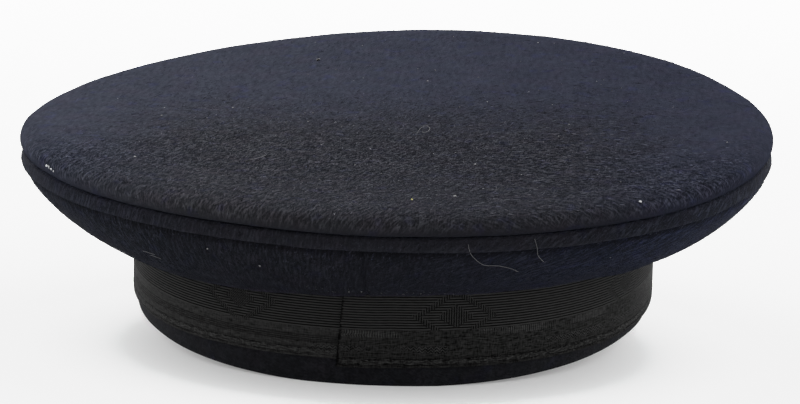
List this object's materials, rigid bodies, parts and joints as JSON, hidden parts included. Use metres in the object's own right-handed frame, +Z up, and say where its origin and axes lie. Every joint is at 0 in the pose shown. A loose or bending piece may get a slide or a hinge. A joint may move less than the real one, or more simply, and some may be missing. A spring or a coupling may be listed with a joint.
{
  "type": "visor cap",
  "caption": "Visor cap with a wide flat crown of dark napped wool, a welted rim, a ribbed woven ribbon around its head band and a short black leather peak.",
  "frame": {"origin": "on the table, under the middle of the cap's box", "axes": "+Y to the front, where the peak is, +Z up from the table, and +X to the wearer's right; the cap is modelled leaning back on its peak, as it rests"},
  "size_m": [0.2456, 0.273, 0.0839],
  "materials": {
    "crown_cloth": "napped navy-black wool",
    "band_cloth": "smooth navy-black wool",
    "woven_ribbon": "ribbed black braid, slightly lustrous",
    "peak_leather": "black patent"
  },
  "bodies": {
    "root": {"base_band": "band_cloth", "ribbon_band": "woven_ribbon", "crown_side": "crown_cloth", "crown_welt": "crown_cloth", "crown_top": "crown_cloth", "peak": "peak_leather"}
  },
  "joints": []
}
